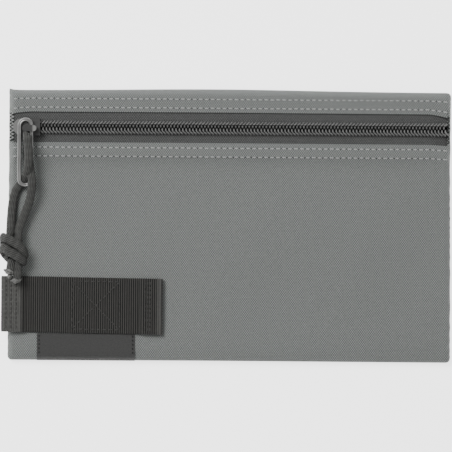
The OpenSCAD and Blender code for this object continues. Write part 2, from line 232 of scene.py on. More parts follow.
class Finish:
    """One material, made node by node round its main shader."""

    def __init__(self, name, **settings):
        self.material = bpy.data.materials.new(name)
        self.material.use_nodes = True
        self.tree = self.material.node_tree
        self.shader = self.tree.nodes["Principled BSDF"]
        for socket, value in settings.items():
            self.shader.inputs[socket.replace("_", " ")].default_value = value

    def node(self, kind, settings, sockets, output=0):
        made = self.tree.nodes.new(kind)
        for name, value in settings.items():
            setattr(made, name, value)
        for name, value in sockets.items():
            feed(made.inputs[name], value)
        return Wire(made.outputs[output])

    def lay(self):
        """The two distances of the map "lay", in millimetres."""
        spot = self.node("ShaderNodeUVMap", {"uv_map": "lay"}, {})
        return [self.node("ShaderNodeSeparateXYZ", {}, {"Vector": spot}, axis) * (1 / mm) for axis in (0, 1)]

    def place(self):
        return self.node("ShaderNodeTexCoord", {}, {}, "Object")

    def cloud(self, size, detail=2.0):
        """Soft noise from 0 to 1, whose patches are about `size` metres across."""
        return self.node("ShaderNodeTexNoise", {},
                         {"Vector": self.place(), "Scale": 1 / size, "Detail": detail})

    def along_x(self, start, end, first, last):
        """A value that goes smoothly from `first` to `last` between two places along X."""
        x = self.node("ShaderNodeSeparateXYZ", {}, {"Vector": self.place()})
        return self.node("ShaderNodeMapRange", {"interpolation_type": "SMOOTHSTEP"}, {
            "Value": x, "From Min": start, "From Max": end, "To Min": first, "To Max": last})

    def tint(self, amount, first, second):
        """A mix of two colours, each of them plain or made by other nodes."""
        first, second = (shade if isinstance(shade, Wire) else (*shade, 1) for shade in (first, second))
        return self.node("ShaderNodeMix", {"data_type": "RGBA"}, {0: amount, 6: first, 7: second}, 2)

    def wear(self, colour=None, roughness=None, height=None, depth=0.0001):
        """Joins colour, roughness and relief to the main shader. `depth` is the relief in metres."""
        if colour is not None:
            feed(self.shader.inputs["Base Color"], colour)
        if roughness is not None:
            feed(self.shader.inputs["Roughness"], roughness)
        if height is not None:
            bump = self.node("ShaderNodeBump", {}, {"Height": height, "Distance": depth, "Strength": 1.0})
            feed(self.shader.inputs["Normal"], bump)


def woven(across, along):
    """Height of a plain weave or braid from 0 to 1, and 1 or 0 for the thread that is on top, where
    `across` and `along` count threads."""
    over = across.maths("FLOOR", across) + along.maths("FLOOR", along)
    over = over.maths("FLOORED_MODULO", over, 2)
    hump_across = across.maths("SINE", across.maths("FRACT", across) * math.pi)
    hump_along = along.maths("SINE", along.maths("FRACT", along) * math.pi)
    top = hump_across * (0.5 + 0.5 * hump_along)
    under = hump_along * (0.5 + 0.5 * hump_across)
    return over * top + (1 - over) * under, over


def piece(mesh, finish):
    """Puts a mesh in the scene under the mesh's own name."""
    made = bpy.data.objects.new(mesh.name, mesh)
    bpy.context.scene.collection.objects.link(made)
    mesh.materials.append(finish.material)
    return made


def oval(width, thick, sides, power=2.0):
    """Outline of a flattened round section, squarer as the power rises."""
    turn = np.arange(sides) * 2 * math.pi / sides
    c, s = np.cos(turn), np.sin(turn)
    return np.stack([np.sign(c) * abs(c) ** (2 / power) * width / 2,
                     np.sign(s) * abs(s) ** (2 / power) * thick / 2], 1)


cord_route = np.vstack([left_tail[::-1], knot_middle + front_strand_in_knot[::-1], front_strand,
                        rear_strand, knot_middle + rear_strand_in_knot, right_tail])
cord_line = pull_anchor + through(cord_route, 0.0003)
knot_at = pull_anchor + knot_middle

# The flat of the cord faces up along the strands, and out from the middle of the knot.
flat_faces = np.tile([0.0, 0.0, 1.0], (len(cord_line), 1))
from_axis = (cord_line - knot_at) * [1, 0, 1]
reach = np.linalg.norm(from_axis, axis=1)
in_knot = (abs(cord_line[:, 1] - knot_at[1]) < 0.0085) & (reach > 0.0022)
flat_faces[in_knot] = from_axis[in_knot] / reach[in_knot, None]
at_bight = np.argmax(cord_line[:, 1])
flat_faces[at_bight - 8:at_bight + 9] = (0, 1, 0)
ahead = np.gradient(cord_line, axis=0)
ahead /= np.linalg.norm(ahead, axis=1)[:, None]
for i in range(1, len(flat_faces)):
    if flat_faces[i] @ flat_faces[i - 1] < 0:
        flat_faces[i] *= -1
for _ in range(30):
    flat_faces[1:-1] = (flat_faces[:-2] + flat_faces[1:-1] + flat_faces[2:]) / 3
    flat_faces -= (flat_faces * ahead).sum(1)[:, None] * ahead
    flat_faces /= np.linalg.norm(flat_faces, axis=1)[:, None]

cord_sides = 32
cord_section = oval(cord_width, cord_thick, cord_sides)
cord_finish = Finish("braided cord", Roughness=0.8, Specular_IOR_Level=0.2)
cord_round, cord_along = cord_finish.lay()
cord_girth = distances(cord_section)[-1] * cord_sides / (cord_sides - 1)
braid_turn = cord_round * (14 / (cord_girth / mm))
braid_rise = cord_along * (1 / 3.4)
braid, braid_top = woven(braid_turn + braid_rise, braid_turn - braid_rise)
cord_rib = braid_turn.maths("SINE", braid_turn * (2 * math.pi)) * 0.5 + 0.5
fuzz = cord_finish.cloud(0.0006, 4)
cord_finish.wear(
    colour=cord_finish.tint(braid * 0.25 + braid_top * 0.15 + cord_rib * 0.45 + fuzz * 0.25,
                            (0.006, 0.0062, 0.006), (0.1, 0.101, 0.096)),
    height=braid * 0.5 + cord_rib * 0.7 + fuzz * 0.3, depth=0.0004)
plump = np.clip((0.0105 - abs(cord_line[:, 1] - knot_at[1])) / 0.004, 0, 1) * 0.1 + 1
pull_cord = piece(sweep("pull_cord", cord_line, flat_faces, cord_section, scale=plump), cord_finish)
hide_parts("cord_front_strand", "cord_rear_strand", "cord_knot", "cord_tails")
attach(pull_cord, "pull")

# ---- melted cord ends ----
# Each end of the cord is melted to stop it fraying. It swells into a pale, glossy, uneven bead,
# and the left one has a drip that set before it could fall.
melt_finish = Finish("melted nylon", Roughness=0.4, Specular_IOR_Level=0.3)
scorch = melt_finish.cloud(0.0016, 3)
melt_finish.wear(colour=melt_finish.tint(scorch, (0.03, 0.03, 0.028), (0.2, 0.2, 0.193)),
                 roughness=0.3 + scorch * 0.3, height=scorch, depth=0.0004)


def bead(name, middle, half_sizes, seed, lean=0.0):
    """An uneven drop of melted nylon."""
    ball = bmesh.new()
    bmesh.ops.create_icosphere(ball, subdivisions=4, radius=1)
    for v in ball.verts:
        lump = noise.noise(v.co * 1.6 + Vector((seed, 0, 0))) * 0.5
        lump += noise.noise(v.co * 4 + Vector((0, seed, 0))) * 0.16
        grown = v.co * (1 + lump)
        v.co = Vector((grown.x * half_sizes[0] + grown.y * lean, grown.y * half_sizes[1],
                       grown.z * half_sizes[2])) + Vector(middle)
    mesh = bpy.data.meshes.new(name)
    ball.to_mesh(mesh)
    ball.free()
    mesh.shade_smooth()
    made = piece(mesh, melt_finish)
    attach(made, "pull")
    return made


left_bead = bead("left_melted_end", cord_line[0] + [-0.0004, -0.0003, 0.0002],
                 (0.0026, 0.0015, 0.0017), 3, -0.0006)
left_drip = bead("left_melted_drip", cord_line[0] + [-0.0001, -0.0026, 0.0], (0.001, 0.0014, 0.0009), 7)
right_bead = bead("right_melted_end", cord_line[-1] + [-0.0003, -0.0006, 0.0001],
                  (0.0024, 0.0014, 0.0016), 11, 0.0004)
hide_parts("cord_melted_tips")

# ---- pull link ----
# A closed loop of plated wire with a groove pressed along it. It hangs from the slider's bail and carries
# the cord. It rests on the slider's lower edge, so its far end lies a little lower.
link_low, link_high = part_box("pull_link")
wire_width = 0.0021
wire_thick = 0.0018
link_length = 0.0361
link_tilt = math.radians(3)
link_bend = (link_high.x - link_low.x - wire_width) / 2
link_rest = np.array([(link_low.x + link_high.x) / 2, slider_low.y, slider_high.z + 0.00025])
link_top = slider_high.y + 0.0006 - slider_low.y
turn = np.linspace(0, math.pi, 25)
bend = link_bend * np.stack([np.cos(turn), np.sin(turn)], 1)
upper_bend = bend + [0, link_top - wire_width / 2 - link_bend]
lower_bend = [0, link_top - link_length + wire_width / 2 + link_bend] - bend
sides = np.linspace(0, 1, 30, endpoint=False)[1:, None]
left_rod = upper_bend[-1] + sides * (lower_bend[0] - upper_bend[-1])
right_rod = lower_bend[-1] + sides * (upper_bend[0] - lower_bend[-1])
link_flat = np.vstack([upper_bend, left_rod, lower_bend, right_rod])
lift, slope = math.cos(link_tilt), math.sin(link_tilt)
link_line = link_rest + np.stack([
    link_flat[:, 0], link_flat[:, 1] * lift - wire_thick / 2 * slope,
    link_flat[:, 1] * slope + wire_thick / 2 * lift], 1)
grooved = oval(wire_width, wire_thick, 40, 2.6)
grooved[:, 1] *= 1 - 0.3 * np.exp(-(grooved[:, 0] / 0.00032) ** 2)
link_finish = Finish("grey plated wire", Metallic=0.75, Roughness=0.36)
scuffs = link_finish.cloud(0.0009, 5)
smears = link_finish.cloud(0.006, 2)
link_finish.wear(colour=link_finish.tint(smears, (0.16, 0.16, 0.157), (0.26, 0.26, 0.254)),
                 roughness=0.26 + scuffs * 0.22, height=scuffs, depth=0.00004)
link = piece(sweep("pull_link_wire", link_line, (0, -slope, lift), grooved, closed=True), link_finish)
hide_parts("pull_link")
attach(link, "pull")

# ---- slider ----
# A die-cast slider in gunmetal paint: two plates round a post that parts the coils, with rims at the sides
# and a bail on top. The paint is rubbed thin at the nose, where the link lies; the bail's end has a painted
# highlight.
slider_finish = Finish("gunmetal paint", Roughness=0.5, Specular_IOR_Level=0.3)
grain = slider_finish.cloud(0.0004, 3)
nose = slider_finish.along_x(slider_low.x + 0.002, slider_low.x + 0.0095, 0.65, 0.0)
paint = slider_finish.tint(slider_finish.cloud(0.003, 3), (0.022, 0.022, 0.0215), (0.055, 0.055, 0.054))
slider_finish.wear(colour=slider_finish.tint(nose, paint, (0.2, 0.2, 0.195)),
                   roughness=0.38 + grain * 0.2, height=grain, depth=0.00004)


def eased(name, width, finish):
    """Rounds the edges of a CAD piece and gives it its finish."""
    made = frame["nodes"][name]
    made.data.materials.clear()
    made.data.materials.append(finish.material)
    edge = made.modifiers.new("eased edges", "BEVEL")
    edge.width = width
    edge.segments = 4
    edge.limit_method = "ANGLE"
    edge.angle_limit = math.radians(40)
    edge.harden_normals = True
    made.data.shade_smooth()


eased("slider_body", 0.00035, slider_finish)
bail_finish = Finish("worn bail paint", Roughness=0.45, Specular_IOR_Level=0.3)
# A painted highlight: the right end of the bail is tinted pale where light catches it.
painted_bail_end_highlight = bail_finish.along_x(bail_high.x - 0.0026, bail_high.x - 0.0014, 0.0, 0.8)
bail_marks = bail_finish.cloud(0.0007, 3)
bail_paint = bail_finish.tint(bail_marks, (0.016, 0.016, 0.0155), (0.045, 0.045, 0.044))
bail_finish.wear(colour=bail_finish.tint(painted_bail_end_highlight, bail_paint, (0.2, 0.2, 0.193)),
                 roughness=0.36 + bail_marks * 0.2, height=bail_marks, depth=0.00004)
eased("slider_bail", 0.00045, bail_finish)

# ---- coils ----
# Each half of the zip is one spiral of stiff nylon line round a core cord. The two spirals are half a
# turn apart, so their heads lock together in the middle.
coil_low, coil_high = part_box("upper_coil")
coil_line_size = 0.00085
coil_pitch = 0.00177
coil_start = coil_low.x
coil_end = coil_high.x
coil_middle_z = (coil_low.z + coil_high.z) / 2
coil_half_height = (coil_high.z - coil_low.z - coil_line_size) / 2
coil_overlap = 0.00005
coil_half_width = (coil_high.y - zip_y + coil_overlap - coil_line_size) / 2
coil_centre = (coil_high.y - zip_y - coil_overlap) / 2
points_a_turn = 16
coil_finish = Finish("nylon line", Roughness=0.42, Specular_IOR_Level=0.4)
coil_marks = coil_finish.cloud(0.0012, 3)
coil_finish.wear(colour=coil_finish.tint(coil_marks, (0.07, 0.07, 0.069), (0.19, 0.19, 0.186)),
                 roughness=0.34 + coil_marks * 0.2, height=coil_marks, depth=0.00005)

# The mouth of the pouch lies between the closed left end and the slider. Its lower lip is made in two halves,
# which meet at the middle of the mouth.
slide = next(j for j in frame["joints"] if j["name"] == "slider_travel")
mouth_left = coil_start
mouth_right = slider_low.x + slide["range_m"][1]
mouth_middle = (mouth_left + mouth_right) / 2
lip_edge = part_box("lower_hem")[1].y
lip_fade = 0.042


def open_mouth(made, half, fades=False):
    """Bakes the placement of a piece of the lower lip into its mesh, without bending it; `fades`, for a piece
    that also spreads down the front, leaves the result unchanged.
    """
    end = mouth_left if half == "left" else mouth_right
    span = mouth_middle - end
    if fades:
        slant = abs(span) * lip_fade / math.hypot(span, lip_fade)
        way = Vector((math.copysign(lip_fade, span), abs(span), 0)).normalized()
        finish_at = Vector((mouth_middle, lip_edge, 0))
        finish_at - way * slant
        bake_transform(made)
    else:
        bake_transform(made)


def spiral(start, end, side, shift):
    """The middle line of a coil; side is 1 above the middle of the zip and -1 below it. Each turn comes out
    from its head along the top, slants over to the next turn's place, and goes back straight below."""
    turns = np.arange(0, (end - start) / coil_pitch, 1 / points_a_turn)
    angle = (turns % 1) * 2 * math.pi
    outward = -np.cos(angle)
    slanted = np.where(angle < math.pi, np.clip((outward + 0.15) / 1.15, 0, 1), 1)
    return np.stack([
        start + shift + (np.floor(turns) + slanted) * coil_pitch,
        zip_y + side * (coil_centre + coil_half_width * outward),
        coil_middle_z + coil_half_height * np.sign(np.sin(angle)) * abs(np.sin(angle)) ** 0.5], 1)


coil_section = oval(coil_line_size, coil_line_size, 8)
coil_facing = (1, 0, 0.02)
upper_spiral = spiral(coil_start, coil_end, 1, 0)
upper_coil = piece(sweep("upper_coil_spiral", upper_spiral, coil_facing, coil_section), coil_finish)
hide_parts("upper_coil")
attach(upper_coil, "pouch")
lower_spiral = spiral(coil_start, coil_end, -1, coil_pitch / 2)
split = int((mouth_middle - coil_start) / coil_pitch) * points_a_turn
for half, line in (("left", lower_spiral[:split + 1]), ("right", lower_spiral[split:])):
    made = piece(sweep(f"lower_coil_spiral_{half}", line, coil_facing, coil_section), coil_finish)
    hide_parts("lower_coil")
    open_mouth(made, half)

# ---- coil cores and chain stitches ----
# A twisted cord fills each spiral. A lockstitch runs over the spiral, between its turns, and through the
# tape and the cord, and holds the three together.
thread_finish = Finish("dark thread", Roughness=0.75, Specular_IOR_Level=0.2)


def twisted(thread, hollow, crest):
    """Gives a thread the relief and the two colours of its twist."""
    lay = thread.node("ShaderNodeUVMap", {"uv_map": "lay"}, {})
    twist = thread.node("ShaderNodeTexWave", {"wave_type": "BANDS", "bands_direction": "DIAGONAL"},
                        {"Vector": lay, "Scale": 900.0}, "Fac")
    thread.wear(colour=thread.tint(twist, hollow, crest), height=twist, depth=0.0001)


twisted(thread_finish, (0.006, 0.006, 0.006), (0.03, 0.03, 0.03))
ply = np.arange(18) * 2 * math.pi / 18
core_radius = 0.00048 * (1 + 0.14 * np.cos(3 * ply))
core_section = np.stack([core_radius * np.cos(ply), core_radius * np.sin(ply)], 1)


def core_cord(name, side, start, end):
    x = np.arange(start, end, 0.0005)
    line = np.stack([x, np.full_like(x, zip_y + side * coil_centre), np.full_like(x, coil_middle_z)], 1)
    wind = x * 2 * math.pi / 0.004
    facing = np.stack([np.zeros_like(x), np.cos(wind), np.sin(wind)], 1)
    return piece(sweep(name, line, facing, core_section), thread_finish)


def lockstitch(name, side, start, end):
    x = np.arange(start, end, coil_pitch / 8)
    dip = np.cos((x - coil_start) * 2 * math.pi / coil_pitch)
    line = np.stack([x, np.full_like(x, zip_y + side * (coil_centre - 0.0001)),
                     coil_high.z - 0.00012 + dip * 0.00016], 1)
    return piece(sweep(name, line, (0, 0, 1), oval(0.0005, 0.0003, 8)), thread_finish)


for kind, maker, lead in (("core", core_cord, 0.0), ("stitching", lockstitch, slider_high.x - coil_start)):
    made = maker(f"upper_coil_{kind}_cord", 1, coil_start + lead, coil_end)
    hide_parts(f"upper_coil_{kind}")
    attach(made, "pouch")
    for half, start, end in (("left", coil_start + lead, mouth_middle), ("right", mouth_middle, coil_end)):
        made = maker(f"lower_coil_{kind}_cord_{half}", -1, start, end)
        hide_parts(f"lower_coil_{kind}")
        open_mouth(made, half)

# ---- zip tapes ----
# Dark woven polyester tape with fine ribs along it. The coils are sewn to the edges that face each other,
# and the outer halves lie under the turned hems.
tape_low, tape_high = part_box("upper_zip_tape")
lower_tape_low, lower_tape_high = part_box("lower_zip_tape")
tape_thick = tape_high.z - tape_low.z
tape_finish = Finish("woven zip tape", Roughness=0.85, Specular_IOR_Level=0.2)
tape_along, tape_across = tape_finish.lay()
tape_weave, tape_top = woven(tape_along * (1 / 0.62), tape_across * (1 / 0.8))
tape_nap = tape_finish.cloud(0.0008, 3)
tape_finish.wear(colour=tape_finish.tint(tape_weave * 0.2 + tape_top * 0.4 + tape_nap * 0.5,
                                         (0.003, 0.003, 0.003), (0.125, 0.127, 0.125)),
                 height=tape_weave + tape_nap * 0.3, depth=0.00016)


def spread(start, end, step):
    """Places from start to end, about a step apart."""
    return np.linspace(start, end, max(2, round(abs(end - start) / step) + 1))


def cloth(name, grid, thick, joined=0):
    """A closed sheet of cloth whose middle runs through a grid of points; `thick` may vary over it.
    Its map "lay" holds the distance along each side of the grid, in metres, from row `joined` of the
    grid, where the same cloth may go on in another piece."""
    grid = np.array(grid)
    rows, cols = grid.shape[:2]
    normal = np.cross(np.gradient(grid, axis=0), np.gradient(grid, axis=1))
    normal /= np.linalg.norm(normal, axis=2)[..., None]
    rise = normal * np.broadcast_to(thick, (rows, cols))[..., None] / 2
    corners = np.vstack([(grid + rise).reshape(-1, 3), (grid - rise).reshape(-1, 3)])
    number = np.arange(rows * cols).reshape(rows, cols)
    face = np.stack([number[:-1, :-1], number[1:, :-1], number[1:, 1:], number[:-1, 1:]], -1).reshape(-1, 4)
    under = face[:, ::-1] + rows * cols
    rims = [np.stack([edge[:-1], edge[:-1] + rows * cols, edge[1:] + rows * cols, edge[1:]], -1)[:, ::-1]
            for edge in (number[::-1, 0], number[0], number[:, -1], number[-1, ::-1])]
    faces = np.vstack([face, under, *rims])
    first = np.concatenate([[0], np.cumsum(np.linalg.norm(np.diff(grid, axis=0), axis=2).mean(1))])
    second = np.concatenate([[0], np.cumsum(np.linalg.norm(np.diff(grid, axis=1), axis=2).mean(0))])
    first -= first[joined]
    lay = np.stack(np.meshgrid(first, second, indexing="ij"), -1).reshape(-1, 2)
    mesh = lay_mesh(name, corners.tolist(), faces.tolist(), lay[faces.ravel() % (rows * cols)])
    mesh.set_sharp_from_angle(angle=math.radians(50))
    return mesh


def zip_tape(name, low, high, start, end, joined=0):
    """One tape, or half of one, with a soft wave where nothing holds it."""
    x = spread(start, end, 0.002)
    y = spread(low, high, 0.0008)
    xx, yy = np.meshgrid(x, y, indexing="ij")
    sink = np.clip((xx - (cad_high.x - 0.009)) / 0.006, 0, 1) * 0.0012
    wave = 0.00008 * np.sin(xx * 2 * math.pi / 0.017) * np.cos(yy * 300)
    zz = (tape_low.z + tape_high.z) / 2 + wave - sink
    return piece(cloth(name, np.stack([xx, yy, zz], -1), tape_thick * 0.8, joined), tape_finish)


# The outer edges of the tapes are cut short, so that they stay inside the hems.
tape_end = cad_high.x - 0.0007
hidden = 0.0036
upper_tape = zip_tape("upper_tape", tape_low.y, tape_high.y - hidden, tape_low.x, tape_end)
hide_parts("upper_zip_tape")
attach(upper_tape, "pouch")
lower_edge = lower_tape_low.y + 1.5 * hidden
for half, start, end, joined in (("left", tape_low.x, mouth_middle, -1),
                                 ("right", mouth_middle, tape_end, 0)):
    made = zip_tape(f"lower_tape_{half}", lower_edge, lower_tape_high.y, start, end, joined)
    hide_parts("lower_zip_tape")
    open_mouth(made, half)

# ---- pouch cloth ----
# One length of plain-woven grey nylon makes the back and both parts of the front. It is folded at the top
# and at the bottom, and turned under beside the zip. It is not stiff, so its face dips and swells a little.
cloth_thick = 0.0005
panel_low, panel_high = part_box("back_panel")
left_edge, bottom_fold = panel_low.x, panel_low.y
right_edge, top_fold = panel_high.x, panel_high.y
upper_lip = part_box("upper_hem_stitching")[0].y - 0.00225
face_mid = face_height - cloth_thick / 2
back_mid = cloth_thick / 2
hem_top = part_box("lower_hem")[1].z + 0.0002
hem_mid = hem_top - cloth_thick / 2
hem_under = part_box("lower_hem")[0].z + cloth_thick / 2
seam_height = 0.0016
edge_roll = 0.0032
pouch_finish = Finish("grey nylon cloth", Roughness=0.88, Specular_IOR_Level=0.2)
warp, weft = pouch_finish.lay()
drift = pouch_finish.cloud(0.004, 2)
pouch_weave, warp_top = woven(warp * (1 / 0.58) + drift * 0.3, weft * (1 / 0.755) + drift * 0.3)
slub = pouch_finish.cloud(0.0011, 4)
faded = pouch_finish.cloud(0.06, 3)
pouch_grey = pouch_finish.tint(pouch_weave * 0.25 + warp_top * 0.6 + slub * 0.3,
                               (0.034, 0.036, 0.035), (0.28, 0.294, 0.285))
pouch_finish.wear(colour=pouch_finish.tint(faded * 0.15, pouch_grey, (0.12, 0.126, 0.122)),
                  height=pouch_weave + slub * 0.35, depth=0.0002)


def bends_kept(line, longest):
    """The points of a fine line that its bends need, and no two further apart than `longest`."""
    kept, turned, run = [line[0]], 0.0, 0.0
    for before, here, after in zip(line[:-2], line[1:-1], line[2:]):
        a, b = here - before, after - here
        run += np.linalg.norm(a)
        turned += math.acos(np.clip(a @ b / np.linalg.norm(a) / np.linalg.norm(b), -1, 1))
        if turned > math.radians(9) or run > longest:
            kept.append(here)
            turned, run = 0.0, 0.0
    return np.array([*kept, line[-1]])


def rolled(start, end, left_side=True, right_side=True):
    """Places across the pouch, closer together where the cloth rolls over at a side seam."""
    angle = np.linspace(0, math.pi / 2, 9)[:-1]
    roll = edge_roll * (1 - np.cos(angle))
    middle = spread(start + edge_roll * left_side, end - edge_roll * right_side, 0.0016)
    return np.concatenate([start + roll if left_side else [], middle,
                           (end - roll)[::-1] if right_side else []])


def dips(x, y):
    """How far the face swells or sinks, in metres."""
    away = np.clip((lip_edge - 0.01 - y) / 0.02, 0, 1) * np.clip((y - bottom_fold) / 0.02, 0, 1)
    height = 0.00035 * np.sin(x * 41 + 1.1) * np.cos(y * 52 + 0.4) + 0.0002 * np.sin(x * 97 - y * 63)
    beside_link = np.exp(-((x - (link_high.x + 0.006)) / 0.006) ** 2 - ((y - 0.02) / 0.016) ** 2)
    beside_strap = np.exp(-((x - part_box("strap_tab")[1].x - 0.006) / 0.009) ** 2 - ((y + 0.045) / 0.02) ** 2)
    calm = 1 - np.exp(-((x - mouth_middle) / 0.012) ** 2)
    return away * (height * calm - 0.0008 * beside_link - 0.0007 * beside_strap)


def sag(x, y):
    """How much lower up the pouch the cloth lies where the side seams pull the zip's ends down."""
    from_side = np.minimum(x - left_edge, right_edge - x)
    near = np.clip(1 - from_side / 0.012, 0, 1)
    on_right = np.where(x > 0, 1.0, 0.0)
    ends = np.interp(y, [0.01, 0.035, upper_lip, top_fold], [0, 1, 1, 0]) * (0.0005 + 0.0003 * on_right)
    lip = np.interp(y, [upper_lip - 0.002, upper_lip, top_fold - 0.001], [0, 1, 0])
    return near**1.6 * (ends + lip * (0.0009 + 0.0006 * on_right))


def outline(x, y):
    """How much higher up the pouch the cloth lies where a corner is rounded or pulled out to a point,
    where the top fold bulges, and where the bottom fold is slack."""
    from_side = np.minimum(x - left_edge, right_edge - x)
    bend = 0.0019
    cut = bend * (1 - np.sqrt(1 - np.clip(1 - from_side / bend, 0, 1) ** 2))
    cut = np.where((x < 0) & (y > 0), -0.0008 * np.exp(-np.clip(from_side, 0, None) / 0.0018), cut)
    corner = [bottom_fold, bottom_fold + 0.006, top_fold - 0.006, top_fold]
    rounding = np.interp(y, corner, [1, 0, 0, -1]) * cut
    bulge = 0.0011 * np.exp(-((x + 0.005) / 0.065) ** 2) * np.interp(y, [upper_lip, top_fold], [0.1, 1])
    slack = 0.0004 * np.interp(y, [bottom_fold, bottom_fold + 0.012], [1, 0])
    return rounding + bulge - slack


def shell(name, profile, across, joined=0):
    """Cloth along a line of (up the pouch, height) points, rolled over at the side seams."""
    x = across[:, None]
    y, z = profile[None, :, 0], profile[None, :, 1]
    from_side = np.minimum(x - left_edge, right_edge - x)
    round_over = np.sqrt(np.clip(1 - (1 - np.clip(from_side / edge_roll, 0, 1)) ** 2, 0, 1))
    on_face = np.clip((z - face_mid + 0.0006) / 0.0006, 0, 1)
    zz = seam_height + (z + dips(x, y) * on_face - seam_height) * round_over
    pucker = 0.00022 * np.sin(y * 420 + 3 * np.sin(y * 90)) * np.clip(1 - from_side / 0.006, 0, 1)
    inward = np.where(x < 0, 1, -1)
    wide = np.interp(y, [-0.07, -0.03, 0.03, 0.07], [0.0005, 0.0004, -0.0001, 0.0001]) * (x > 0) + 0.0004
    xx = x + inward * (cloth_thick / 2 + abs(pucker) - wide) * np.clip(1 - from_side / 0.006, 0, 1)
    yy = y - sag(x, y) * np.clip(z / face_mid, 0, 1) + outline(x, y)
    return cloth(name, np.stack(np.broadcast_arrays(xx, yy, zz), -1), cloth_thick, joined)


lower_profile = through([(y, z, 0) for y, z in (
    (lip_edge - 0.0072, hem_under), (lip_edge - 0.0035, hem_under), (lip_edge - 0.0009, hem_under),
    (lip_edge - 0.0003, (hem_under + hem_mid) / 2), (lip_edge - 0.0009, hem_mid), (lip_edge - 0.004, hem_mid),
    (lip_edge - 0.0072, hem_mid - 0.0001), (lip_edge - 0.0105, hem_mid - 0.0012),
    (lip_edge - 0.0145, face_mid), (lip_edge - 0.019, face_mid), (0.01, face_mid), (-0.03, face_mid),
    (bottom_fold + 0.009, face_mid), (bottom_fold + 0.0048, face_mid - 0.0001),
    (bottom_fold + 0.0019, face_mid - 0.0007), (bottom_fold + 0.0005, face_mid - 0.0022),
    (bottom_fold + 0.0004, back_mid + 0.0014), (bottom_fold + 0.0012, back_mid + 0.0004),
    (bottom_fold + 0.003, back_mid))], 0.00012)
lower_profile = bends_kept(lower_profile, 0.0016)[:, :2]
for half, across, joined in (("left", rolled(left_edge, mouth_middle, right_side=False), -1),
                             ("right", rolled(mouth_middle, right_edge, left_side=False), 0)):
    made = piece(shell(f"front_lower_cloth_{half}", lower_profile, across, joined), pouch_finish)
    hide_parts("front_lower_panel", "lower_hem")
    open_mouth(made, half, fades=True)

upper_profile = through([(y, z, 0) for y, z in (
    (bottom_fold + 0.003, back_mid), (-0.03, back_mid), (0.03, back_mid),
    (top_fold - 0.004, back_mid), (top_fold - 0.0012, back_mid + 0.0004),
    (top_fold - 0.0004, back_mid + 0.0016), (top_fold - 0.0004, face_mid - 0.0016),
    (top_fold - 0.0013, face_mid + 0.0003),
    (top_fold - 0.0032, hem_mid - 0.0002), (top_fold - 0.0058, hem_mid), (upper_lip + 0.004, hem_mid),
    (upper_lip + 0.0009, hem_mid), (upper_lip + 0.0003, (hem_under + hem_mid) / 2),
    (upper_lip + 0.0009, hem_under), (upper_lip + 0.0035, hem_under), (upper_lip + 0.0072, hem_under))],
    0.00012)
upper_profile = bends_kept(upper_profile, 0.0025)[:, :2]
back_cloth = piece(shell("back_cloth", upper_profile[::-1], rolled(left_edge, right_edge)), pouch_finish)
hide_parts("back_panel", "front_upper_panel")
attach(back_cloth, "pouch")

# The cloth at both ends of the zip, from the side seam up to the tack that closes the tapes.
for side, edge, inward in (("left", left_edge, 1), ("right", right_edge, -1)):
    turn_in = 1.0 if side == "left" else 0.4
    end_profile = through([(edge + inward * (0.0003 + x * turn_in), 0, z) for x, z in (
        (0, seam_height), (0, 0.0035), (0.0004, 0.0056), (0.0011, 0.0063), (0.0021, 0.0062),
        (0.0029, 0.0055))], 0.0002)
    y = spread(lip_edge - 0.002, upper_lip + 0.002, 0.0006)
    grid = np.array([end_profile + [0, up, 0] for up in y])
    grid[..., 2] += 0.00012 * np.sin(grid[..., 1] * 2400)
    if side == "left":
        grid = grid[::-1]
    made = piece(cloth(f"{side}_end_fold", grid, cloth_thick), pouch_finish)
    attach(made, "pouch")

# ---- seam bindings ----
# Inside the pouch each side seam is wrapped in a folded black tape, which is sewn through with one row of
# stitches. It shows when the zip is open.
binding_finish = Finish("binding tape", Roughness=0.85, Specular_IOR_Level=0.2)
bind_along, bind_across = binding_finish.lay()
bind_weave, bind_top = woven(bind_along * (1 / 0.5), bind_across * (1 / 0.9))
binding_finish.wear(colour=binding_finish.tint(bind_weave * 0.6 + bind_top * 0.4,
                                               (0.006, 0.006, 0.006), (0.03, 0.03, 0.03)),
                    height=bind_weave, depth=0.00018)
for side, inward in (("left", 1), ("right", -1)):
    low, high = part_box(f"{side}_seam_binding")
    outer, inner = (low.x, high.x) if inward > 0 else (high.x, low.x)
    bulge = inner - inward * 0.0008
    fold = through([(x, 0, z) for x, z in (
        (outer, high.z - 0.0003), ((outer + inner) / 2, high.z - 0.00025), (bulge, high.z - 0.0003),
        (inner - inward * 0.0003, (low.z + high.z) / 2), (bulge, low.z + 0.0003),
        ((outer + inner) / 2, low.z + 0.00025), (outer, low.z + 0.0003))], 0.0003)
    y = spread(low.y, high.y, 0.002)
    grid = np.array([fold + [0.0002 * math.sin(up * 260), up, 0] for up in y])
    if side == "right":
        grid = grid[::-1]
    made = piece(cloth(f"{side}_binding_tape", grid, 0.0004), binding_finish)
    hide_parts(f"{side}_seam_binding")
    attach(made, "pouch")

# ---- hem and seam stitches ----
# Lockstitches in a light grey thread, about 3 mm long. Each one lies on the cloth and dips into it at both
# ends, and short dark pieces between them paint the shade in each needle hole. Two rows hold each hem to its
# tape.
stitch = 0.0031
pale_finish = Finish("pale thread", Roughness=0.7, Specular_IOR_Level=0.3)
twisted(pale_finish, (0.24, 0.245, 0.24), (0.52, 0.53, 0.52))


